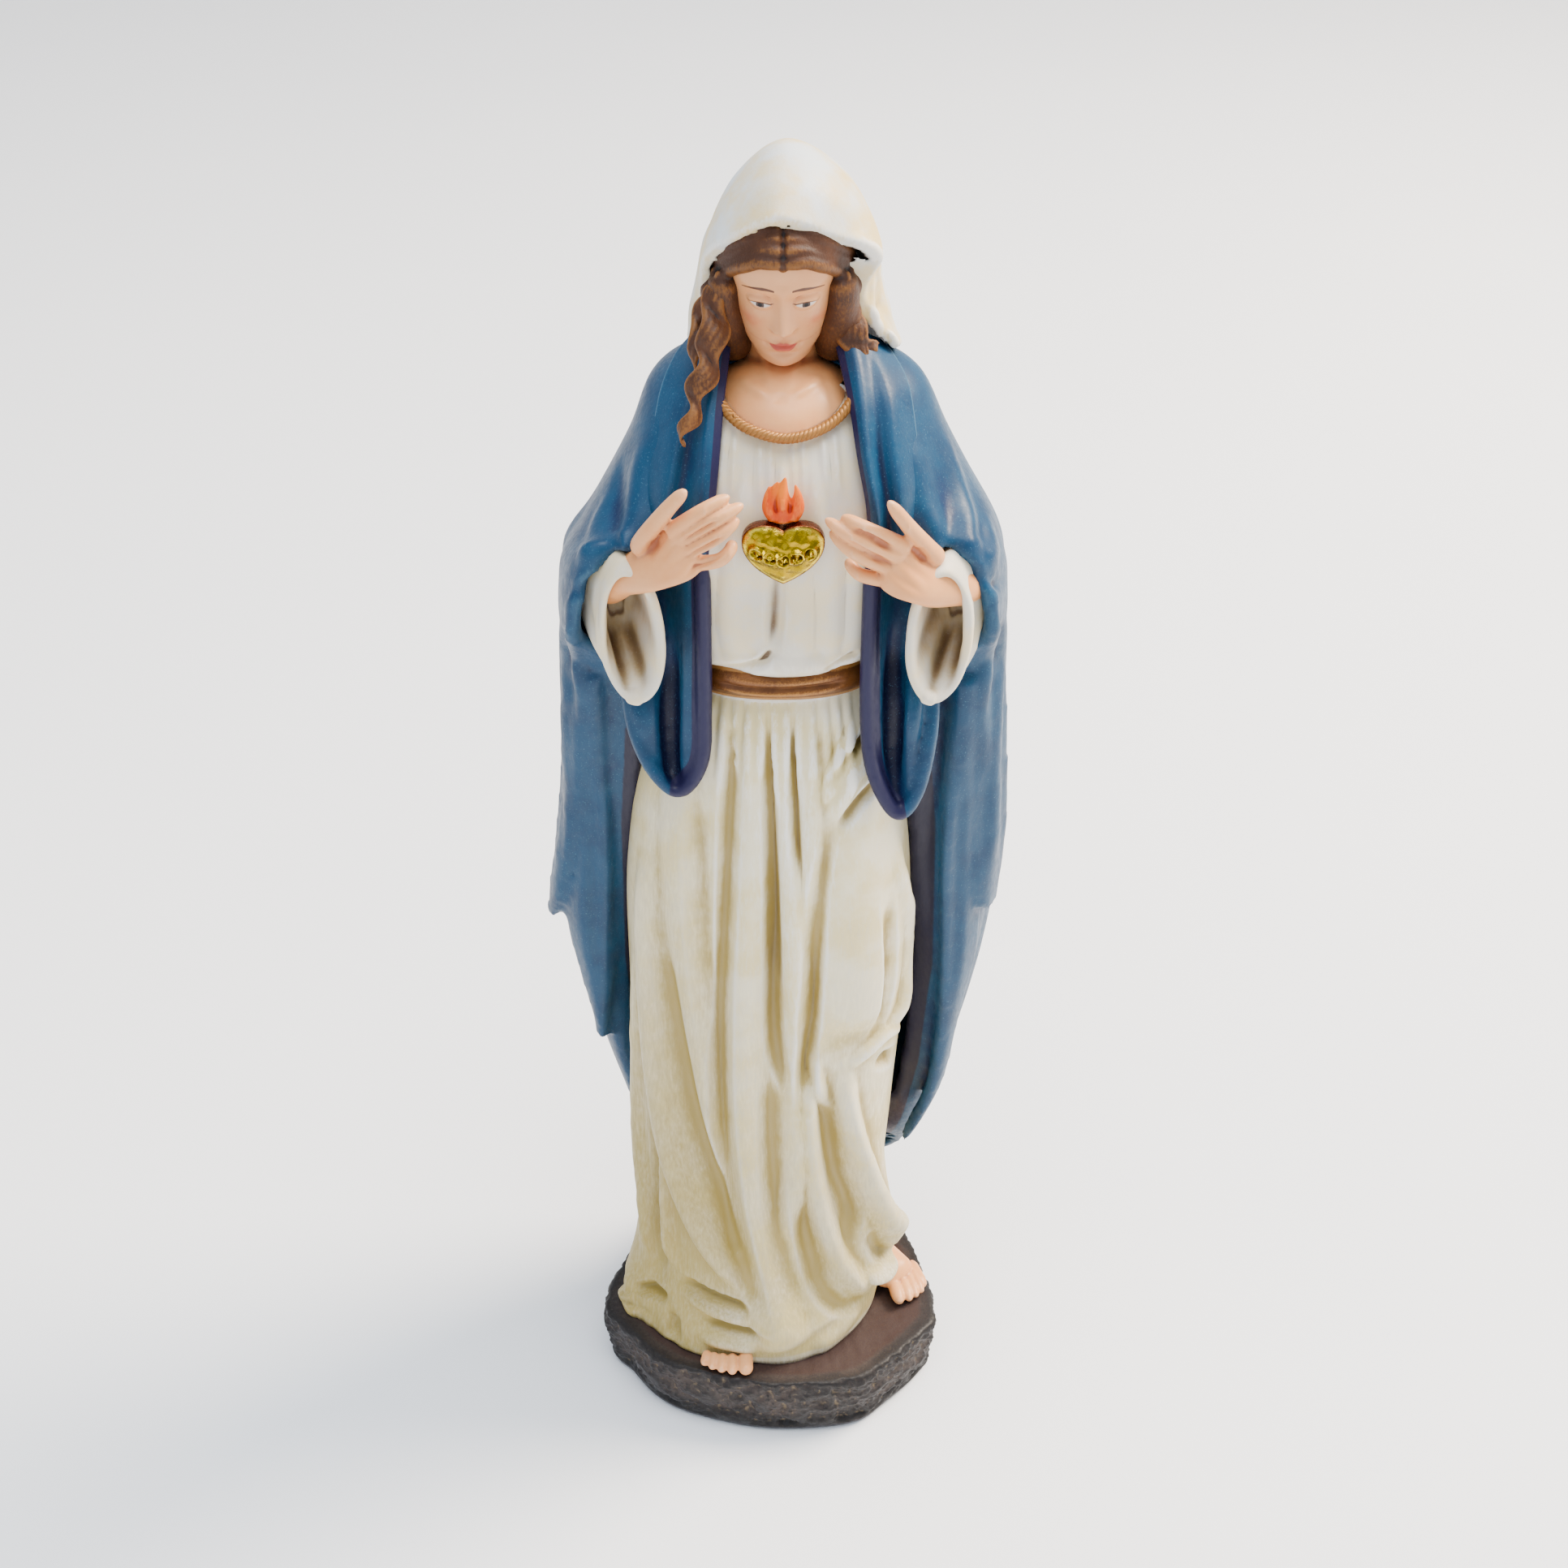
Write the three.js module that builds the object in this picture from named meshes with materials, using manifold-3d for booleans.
// A devotional statue of the Madonna pointing to her heart, 210 mm tall, in painted cast resin.
// The figure stands on an irregular rock base with a felt pad under it, and faces -Y.
// Her right side is -X. Z = 0 is the felt's underside, and the origin lies below the figure's axis.

import * as THREE from 'three';
import Module from 'manifold-3d';
import { mergeVertices } from 'three/addons/utils/BufferGeometryUtils.js';

const wasm = await Module();
wasm.setup();

// ---- Driving dimensions, in millimetres ----

const figureHeight = 197;     // top of the base to the crown of the veil
const figureWidth = 71.2;     // across the mantle at its widest
const figureDepth = 50;       // hem at the front to the mantle at the back
const baseWidth = 58.6;
const baseDepth = 55;
const baseHeight = 12;        // rock slab alone, without the felt
const feltThickness = 1;
const feltInset = 1.6;        // felt's edge inside the rock's edge
const beltHeight = 4.4;
const trimRadius = 0.75;      // rope along the neckline
const heartWidth = 10.5;
const heartHeight = 8.6;
const heartThickness = 3.2;
const flameWidth = 4.4;
const flameHeight = 5.8;
const flameThickness = 1.7;
const sleeveWall = 1.5;
const sleeveDepth = 9;        // how deep the open mouth of a sleeve is
const glueGap = 0.3;          // clearance between neighbouring pieces

// The sections and points of the figure below are drawn for a figure of this size, standing on z = 0.
const drawn = { height: 197, width: 71.2, depth: 50 };
const scale = new THREE.Vector3(
  figureWidth / drawn.width,
  figureDepth / drawn.depth,
  figureHeight / drawn.height,
);
const baseTop = feltThickness + glueGap + baseHeight;
const floorOfFigure = baseTop + glueGap;

const place = (x, y, z) => {
  const scaled = new THREE.Vector3(x, y, z).multiply(scale);
  return scaled.setZ(scaled.z + floorOfFigure);
};

// ---- Solids from three.js geometry ----

const solidOf = (geometry) => {
  geometry.deleteAttribute('normal');
  geometry.deleteAttribute('uv');
  const merged = mergeVertices(geometry, 1e-5);
  const vertProperties = new Float32Array(merged.attributes.position.array);
  const triVerts = new Uint32Array(merged.index.array);
  return new wasm.Manifold(new wasm.Mesh({ numProp: 3, vertProperties, triVerts }));
};

const geometryOf = (solid) => {
  const mesh = solid.getMesh();
  const geometry = new THREE.BufferGeometry();
  geometry.setAttribute('position', new THREE.BufferAttribute(new Float32Array(mesh.vertProperties), 3));
  geometry.setIndex(new THREE.BufferAttribute(new Uint32Array(mesh.triVerts), 1));
  return geometry;
};

const joined = (...solids) => solids.reduce((whole, solid) => whole.add(solid));

// A unit cylinder whose vertices are moved: shape(along, around, out) gives the point at 0..1 along
// the length, at an angle around it, and at 0..1 out from the middle.
const lathed = (sides, levels, shape) => {
  const geometry = new THREE.CylinderGeometry(1, 1, 1, sides, levels);
  const position = geometry.attributes.position;
  for (let i = 0; i < position.count; i += 1) {
    const around = Math.atan2(-position.getZ(i), position.getX(i));
    const out = Math.hypot(position.getX(i), position.getZ(i));
    const point = shape(position.getY(i) + 0.5, around, out > 0.5 ? 1 : 0);
    position.setXYZ(i, point.x, point.y, point.z);
  }
  return solidOf(geometry);
};

const smooth = (values, t) => {
  const points = values.map((value) => new THREE.Vector3(value, 0, 0));
  return new THREE.CatmullRomCurve3(points, false, 'catmullrom', 0.5).getPoint(t).x;
};

const nearlyNothing = 1e-9;
const power = (value, exponent) => {
  const size = Math.abs(value);
  return size < nearlyNothing ? 0 : Math.sign(value) * size ** exponent;
};

// A body of level sections. Each row is [height, left, right, front, back], and squareness 2 is an
// ellipse. Pleats are ridges down the front: how many go round, and how far they stand out.
const stack = (rows, options = {}) => (grow) => {
  const { squareness = 2.3, sides = 32, levels = 14, pleats = 0, pleatDepth = 0 } = options;
  const column = (index, t) => smooth(rows.map((row) => row[index]), t);
  return lathed(sides, levels, (along, around, out) => {
    const end = (along === 1 ? grow : 0) - (along === 0 ? grow : 0);
    const low = place(column(1, along), column(3, along), column(0, along));
    const high = place(column(2, along), column(4, along), column(0, along));
    const ridge = pleatDepth * Math.cos(pleats * around) * Math.max(0, -Math.sin(around));
    const across = (high.x - low.x) / 2 + grow + ridge;
    const deep = (high.y - low.y) / 2 + grow + ridge;
    return new THREE.Vector3(
      (high.x + low.x) / 2 + out * across * power(Math.cos(around), 2 / squareness),
      (high.y + low.y) / 2 + out * deep * power(Math.sin(around), 2 / squareness),
      low.z + end,
    );
  });
};

// A rounded limb along a curve. Each stop is [x, y, z, half width, half thickness], and the width
// lies along the flat direction given.
const limb = (stops, flat, { sides = 12, levels = 8, round = 0.16 } = {}) => (grow) => {
  const curve = new THREE.CatmullRomCurve3(stops.map(([x, y, z]) => place(x, y, z)));
  const flatDirection = new THREE.Vector3(...flat);
  return lathed(sides, levels, (along, around, out) => {
    const centre = curve.getPoint(along);
    const tangent = curve.getTangent(along);
    const up = new THREE.Vector3().crossVectors(tangent, flatDirection).normalize();
    const across = new THREE.Vector3().crossVectors(up, tangent).normalize();
    const toEnd = Math.min(1, (Math.min(along, 1 - along) + 0.03) / round);
    const taper = Math.sqrt(1 - (1 - toEnd) ** 2);
    const wide = smooth(stops.map((stop) => stop[3]), along) * taper + grow;
    const thick = smooth(stops.map((stop) => stop[4]), along) * taper + grow;
    const end = (along === 1 ? grow : 0) - (along === 0 ? grow : 0);
    return centre
      .addScaledVector(across, out * wide * Math.cos(around))
      .addScaledVector(up, out * thick * Math.sin(around))
      .addScaledVector(tangent, end);
  });
};

// An egg at a place, with its three half sizes, bowed forward by a tilt in degrees.
const egg = (x, y, z, across, deep, tall, tilt = 0, sides = 14) => (grow) => {
  const geometry = new THREE.SphereGeometry(1, sides, Math.round(sides * 0.7));
  geometry.scale(across + grow, tall + grow, deep + grow);
  geometry.rotateX(Math.PI / 2 + THREE.MathUtils.degToRad(tilt));
  const centre = place(x, y, z);
  geometry.translate(centre.x, centre.y, centre.z);
  return solidOf(geometry);
};

const together = (...forms) => (grow) => joined(...forms.map((form) => form(grow)));

// A flat outline set upright, extruded from front to back about its middle.
const upright = (outline, thickness, centre) => (grow) => {
  const geometry = new THREE.ExtrudeGeometry(outline(grow), {
    depth: thickness + 2 * grow,
    bevelEnabled: false,
    curveSegments: 8,
  });
  geometry.rotateX(Math.PI / 2);
  geometry.translate(centre.x, centre.y + thickness / 2 + grow, centre.z);
  return solidOf(geometry);
};

// ---- Base ----

// Rock outline seen from above, as shares of half the base's width and depth.
const rockCentre = new THREE.Vector2(-2.1, -5.8);
const rockOutline = [
  [-0.83, 0.21], [-1.0, -0.33], [-0.86, -0.55], [-0.7, -0.75], [-0.46, -0.89], [0, -1],
  [0.5, -0.96], [0.74, -0.78], [0.94, -0.56], [1, -0.38], [0.88, 0.21], [0.55, 0.78], [0, 1], [-0.52, 0.8],
];

const rockShape = (inset) => {
  const curve = new THREE.CatmullRomCurve3(
    rockOutline.map(([x, y]) => new THREE.Vector3(
      rockCentre.x + x * (baseWidth / 2 - inset),
      rockCentre.y + y * (baseDepth / 2 - inset),
      0,
    )),
    true,
  );
  return new THREE.Shape(curve.getPoints(40).slice(0, -1).map((p) => new THREE.Vector2(p.x, p.y)));
};

const slab = (inset, from, thickness) => (grow) => {
  const geometry = new THREE.ExtrudeGeometry(rockShape(inset - grow), {
    depth: thickness + 2 * grow,
    bevelEnabled: false,
  });
  geometry.translate(0, 0, from - grow);
  return solidOf(geometry);
};

const feltPad = slab(feltInset, 0, feltThickness);
const baseSlab = slab(0, feltThickness + glueGap, baseHeight);

// ---- Dress ----

const beltLevel = 129.4;
const beltHalf = beltHeight / 2 / scale.z;
const gapHigh = glueGap / scale.z;
const skirtTop = beltLevel - beltHalf - gapHigh;
const bodiceFoot = beltLevel + beltHalf + gapHigh;

const skirt = stack([
  [0, -29.4, 17.5, -30, 12],
  [10, -26, 22, -27.5, 11],
  [26, -24.3, 17.8, -25, 9],
  [46, -24.3, 19, -23.5, 8],
  [68, -24, 20, -22.5, 8],
  [90, -22.8, 19.6, -21.5, 6],
  [110, -20, 17, -20.5, 3],
  [skirtTop, -14, 14, -19, 1],
], { sides: 40, levels: 9, pleats: 10, pleatDepth: 0.6 });

const belt = stack([
  [beltLevel - beltHalf, -14.2, 14.2, -19.8, 1.2],
  [beltLevel + beltHalf, -13.8, 13.8, -19.6, 1.2],
], { levels: 1, sides: 24 });

const bodice = stack([
  [bodiceFoot, -14.4, 14.4, -20.6, 1],
  [138, -15, 15, -21.4, 2],
  [152, -16, 16, -22.6, 3],
  [160, -16.5, 16.5, -20.6, 4],
  [167, -15, 15, -16.2, 4],
  [171, -11, 11, -12, 3],
], { levels: 6, sides: 24, squareness: 2.6 });

const trimCurve = () => new THREE.CatmullRomCurve3([
  place(-9.6, -10.5, 173),
  place(-7.2, -13.8, 169),
  place(-4, -16.4, 166.2),
  place(0, -17.4, 165.2),
  place(4, -16.4, 166.2),
  place(7.4, -13.8, 169),
  place(9.8, -10.5, 173),
]);

const necklineTrim = (grow) => solidOf(new THREE.ExtrudeGeometry(
  new THREE.Shape().absarc(0, 0, trimRadius + grow, 0, 2 * Math.PI),
  { extrudePath: trimCurve(), steps: 12, curveSegments: 2, bevelEnabled: false },
));

// ---- Heart emblem ----

const heartCentre = place(0.4, -23.9, 153);

const heartTopShare = 0.42;   // of its height, above its centre
const notchShare = 0.72;      // the notch between its lobes, as a share of that

const heartOutline = (grow) => {
  const half = heartWidth / 2 + grow;
  const top = heartHeight * heartTopShare + grow;
  const foot = -heartHeight * (1 - heartTopShare) - grow;
  const shape = new THREE.Shape();
  shape.moveTo(0, top * notchShare);
  shape.bezierCurveTo(half * 0.25, top * 1.06, half * 0.9, top * 1.14, half, top * 0.45);
  shape.bezierCurveTo(half * 1.05, -top * 0.4, half * 0.5, foot * 0.75, 0, foot);
  shape.bezierCurveTo(-half * 0.5, foot * 0.75, -half * 1.05, -top * 0.4, -half, top * 0.45);
  shape.bezierCurveTo(-half * 0.9, top * 1.14, -half * 0.25, top * 1.06, 0, top * notchShare);
  return shape;
};

const flameOutline = (grow) => {
  const half = flameWidth / 2 + grow;
  const tall = flameHeight + grow;
  const shape = new THREE.Shape();
  shape.moveTo(-half * 0.45, -grow);
  shape.bezierCurveTo(-half * 1.1, tall * 0.18, -half * 1.1, tall * 0.4, -half * 0.8, tall * 0.7);
  shape.lineTo(-half * 0.35, tall * 0.52);
  shape.lineTo(0, tall);
  shape.lineTo(half * 0.4, tall * 0.52);
  shape.lineTo(half * 0.8, tall * 0.76);
  shape.bezierCurveTo(half * 1.1, tall * 0.4, half * 1.1, tall * 0.18, half * 0.45, -grow);
  return shape;
};

// The flame starts down in the notch, where the heart cuts it to fit.
const flameSetBack = 0.9;
const notchHeight = heartHeight * heartTopShare * notchShare;
const flameFoot = heartCentre.clone().add(new THREE.Vector3(0, flameSetBack, notchHeight));
const heartEmblem = upright(heartOutline, heartThickness, heartCentre);
const flame = upright(flameOutline, flameThickness, flameFoot);

// ---- Head, neck and hair ----

const headTilt = 22;
const noseStops = [[0.4, -14, 185.4, 1, 1.2], [0.4, -15.2, 182.6, 1.2, 1.4], [0.4, -14.6, 181, 1.3, 1.2]];

const head = together(
  egg(0.4, -5.4, 184.8, 8.2, 9.6, 10.6, headTilt),
  egg(0.4, -10, 178.6, 5.5, 5.4, 5.8, headTilt, 12),
  limb(noseStops, [1, 0, 0], { sides: 6, levels: 3 }),
  limb([[0, -3, 158, 7.5, 7], [0, -4, 168, 5.6, 5.6], [0.2, -4.6, 180, 5, 5]], [1, 0, 0], { sides: 12 }),
  egg(0, -6.6, 163.4, 11.4, 10.4, 7),
);

const hairCrown = together(
  egg(0.5, -3.9, 184.8, 9.5, 10.4, 10.8, headTilt),
  egg(0.5, -2, 176, 8.6, 7.5, 9, 0, 12),
);
const faceWindow = egg(0.4, -17.4, 177.4, 7.4, 9, 13, 12);

const lockRight = limb([
  [-9, -8.5, 180, 2.2, 1.6],
  [-9.6, -11.5, 175, 2.2, 1.7],
  [-10.4, -14, 170, 2.1, 1.7],
  [-11.4, -15.6, 165, 1.8, 1.5],
  [-12.2, -17.4, 160, 1.1, 1],
], [1, 0, 0], { sides: 8, levels: 8 });

const bunchLeft = limb([
  [9.6, -8, 181, 1.6, 1.5],
  [11, -10.2, 175.5, 2.4, 1.9],
  [13.4, -9.8, 172.6, 1.6, 1.4],
], [1, 0, 0], { sides: 8, levels: 5 });

const veil = stack([
  [158, -9, 11, 4, 14],
  [164, -11.6, 14, -1, 13.4],
  [170, -12.4, 15.2, -8, 12.4],
  [175, -12, 14.6, -11.4, 11],
  [181, -11, 12.8, -13, 9.4],
  [187, -10.4, 11.8, -14.6, 8.4],
  [192, -8.6, 10, -14.2, 6.4],
  [195.4, -5.4, 7, -11.4, 3.6],
  [196.7, -1.6, 3, -6.6, -1.6],
], { squareness: 2.1, sides: 22, levels: 9 });
const veilWindow = together(
  egg(0.5, -17.4, 177, 8.9, 12.4, 14.2),
  egg(0.5, -14, 166, 9.2, 12, 10),
);

// ---- Hands and feet ----

// One hand laid flat towards the heart. side is -1 for her right hand and 1 for her left one.
const hand = (side) => {
  const finger = (points, half) => limb(
    points.map(([x, y, z]) => [side * x, y, z, half, half]),
    [0, -1, 0],
    { sides: 6, levels: 3 },
  );
  return together(
    limb([
      [side * 22.4, -18.6, 144.4, 3, 2.6],
      [side * 20.4, -21.4, 146.6, 2.8, 2.2],
      [side * 16.4, -24.4, 150.6, 4.2, 2],
      [side * 12.6, -25.4, 153.8, 3.8, 1.5],
    ], [-side, 0, 1.4], { sides: 10, levels: 4, round: 0.1 }),
    finger([[14.4, -25.6, 155.4], [9.8, -26.4, 158.6], [5.9, -25.9, 160.8]], 1.05),
    finger([[13.6, -25.9, 153.8], [9.2, -26.7, 156.8], [5.3, -26, 159]], 1.05),
    finger([[13.2, -25.9, 152], [10, -26.9, 153.9], [7.2, -26, 155.6]], 1.05),
    finger([[13.2, -25.6, 150.2], [10.4, -26.6, 151.6], [8.6, -25.8, 152.8]], 0.95),
    finger([[16.6, -24.6, 153.4], [14.8, -26.2, 157.8], [12.3, -27, 161.4]], 1.1),
  );
};

// A bare foot. Its sole stays level with the floor of the figure at any height of the figure.
const foot = (x, y, turn) => {
  const forward = new THREE.Vector2(0, -1).rotateAround(new THREE.Vector2(), turn);
  const stop = (along, high, wide, thick) => [
    x + forward.x * along,
    y + forward.y * along,
    high,
    wide,
    thick * scale.z,
  ];
  return limb([
    stop(-9, 3.2, 3.6, 3),
    stop(-3, 2.6, 4.6, 2.7),
    stop(1.5, 1.9, 4.9, 1.9),
    stop(4, 1.4, 4.4, 1.4),
  ], [1, 0, 0], { sides: 10, levels: 5 });
};

const footRight = foot(-9, -27.2, -0.1);
const footLeft = foot(20.4, -14.4, 0.6);

// ---- Sleeves and mantle ----

const sleeveStops = (side) => [
  [side * 24.4, -8, 144, 4.4, 5.4],
  [side * 22.8, -15, 142.6, 4.6, 7.8],
  [side * 19.9, -24.6, 140.6, 4.7, 9.9],
];

const sleeve = (side) => limb(sleeveStops(side), [1, 0, 0], { sides: 16, levels: 5, round: 0.04 });

const sleeveMouth = (side) => {
  const [, middle, mouth] = sleeveStops(side);
  const share = sleeveDepth / scale.y / (middle[1] - mouth[1]);
  const inward = [0, 1, 2].map((axis) => mouth[axis] + (middle[axis] - mouth[axis]) * share);
  const outward = [0, 1, 2].map((axis) => mouth[axis] - (middle[axis] - mouth[axis]) * 0.2);
  const hollow = [mouth[3] - sleeveWall, mouth[4] - sleeveWall];
  return limb([
    [...inward, hollow[0] * 0.6, hollow[1] * 0.7],
    [...mouth.slice(0, 3), ...hollow],
    [...outward, ...hollow],
  ], [1, 0, 0], { sides: 12, levels: 3, round: 0.05 });
};

const drape = (side, foot, outer) => limb([
  [side * (outer - 6.4), -14.5, 140, 7, 5],
  [side * (outer - 7), -17.4, 128, 7.3, 5.2],
  [side * (outer - 8), -19, 119, 6.4, 4.6],
  [side * (outer - 8.6), -19.8, foot, 3.4, 3],
], [1, 0, 0], { sides: 12, levels: 6, round: 0.2 });

const lapel = (side) => limb([
  [side * 10, -8.6, 171, 2.2, 1.6],
  [side * 11.6, -15.4, 166, 3.4, 1.8],
  [side * 12.8, -20.4, 158, 3.8, 2],
  [side * 13.4, -22, 148, 3.8, 2],
  [side * 13.2, -20.6, 134, 3.6, 2],
], [1, 0, 0], { sides: 10, levels: 6, round: 0.08 });

// The mantle is laid over the arms, and each forearm lifts it forward.
const forearmWrap = (side) => limb([
  [side * 23.6, 3, 141, 6, 8],
  [side * 24.8, -8, 141, 6, 9],
  [side * 24.4, -16, 141, 5.6, 10.4],
  [side * 22.6, -22.8, 140.6, 5.4, 11],
], [1, 0, 0], { sides: 14, levels: 5, round: 0.06 });

const mantleBody = stack([
  [5, -14, 18.6, 9.6, 17.5],
  [22, -25.6, 23.6, 3, 18],
  [39, -31.4, 27.6, -1, 17.6],
  [62, -35.2, 31.6, -6, 17],
  [80, -36.9, 34.3, -9, 16.4],
  [100, -35.2, 34, -13, 15.8],
  [122, -32.8, 32.4, -17, 15],
  [138, -31, 31.4, -20.4, 14.2],
  [146, -29.8, 30.8, -21.6, 13.6],
  [155, -24, 25.8, -20.4, 12.6],
  [163, -19.8, 21.4, -16.6, 11],
  [168.6, -16, 17.8, -12.6, 8.6],
  [170.9, -11.4, 12.8, -8.4, 5.8],
], { squareness: 2.9, sides: 28, levels: 13 });
const mantle = together(mantleBody, forearmWrap(-1), forearmWrap(1));

// The open front of the mantle, between the lapels.
const mantleOpening = stack([
  [-4, -26, 22, -60, -8],
  [100, -22, 19, -60, -14],
  [114, -13.5, 13.5, -60, -12],
  [150, -12.5, 12.8, -60, -10],
  [166, -9, 9.2, -60, -6],
  [180, -8.6, 9, -60, -4],
], { squareness: 6, sides: 16, levels: 6 });

// ---- Assembly ----

const paint = (color, roughness, metalness = 0) => (
  new THREE.MeshStandardMaterial({ color, roughness, metalness })
);
const blue = paint('#2f6a93', 0.45);
const cream = paint('#e6e0d2', 0.5);
const white = paint('#e9ecea', 0.5);
const skin = paint('#e0b796', 0.4);
const brown = paint('#6b4630', 0.5);
const bronze = paint('#7a4e22', 0.35, 0.6);

// In the order in which they lie over each other: each piece gives way to all the ones above it here,
// and so fits round them with the glue gap.
const pieces = [
  { name: 'felt_pad', form: feltPad, paint: paint('#3c3a3c', 0.95) },
  { name: 'base_slab', form: baseSlab, paint: paint('#4a4140', 0.8) },
  { name: 'foot_right', form: footRight, paint: skin },
  { name: 'foot_left', form: footLeft, paint: skin },
  { name: 'heart_emblem', form: heartEmblem, paint: paint('#b8a11e', 0.25, 1) },
  { name: 'flame', form: flame, paint: paint('#f25a25', 0.35) },
  { name: 'hand_right', form: hand(-1), paint: skin },
  { name: 'hand_left', form: hand(1), paint: skin },
  { name: 'neckline_trim', form: necklineTrim, paint: bronze },
  { name: 'head', form: head, paint: skin },
  { name: 'hair_crown', form: hairCrown, hollow: faceWindow, paint: brown },
  { name: 'hair_lock_right', form: lockRight, paint: brown },
  { name: 'hair_bunch_left', form: bunchLeft, paint: brown },
  { name: 'belt', form: belt, paint: bronze },
  { name: 'skirt', form: skirt, paint: cream },
  { name: 'bodice', form: bodice, paint: white },
  { name: 'veil', form: veil, hollow: veilWindow, paint: white },
  { name: 'sleeve_right', form: sleeve(-1), hollow: sleeveMouth(-1), paint: white },
  { name: 'sleeve_left', form: sleeve(1), hollow: sleeveMouth(1), paint: white },
  { name: 'lapel_right', form: lapel(-1), paint: blue },
  { name: 'lapel_left', form: lapel(1), paint: blue },
  { name: 'drape_right', form: drape(-1, 111.4, 23.4), paint: blue },
  { name: 'drape_left', form: drape(1, 107.2, 23.6), paint: blue },
  { name: 'mantle', form: mantle, hollow: mantleOpening, paint: blue },
];

const statue = new THREE.Group();
const above = [];
for (const piece of pieces) {
  let solid = piece.form(0);
  if (piece.hollow) {
    solid = solid.subtract(piece.hollow(0));
  }
  for (const neighbour of above) {
    solid = solid.subtract(neighbour);
  }
  above.push(piece.form(glueGap));
  const mesh = new THREE.Mesh(geometryOf(solid), piece.paint);
  mesh.name = piece.name;
  statue.add(mesh);
}

export default statue;
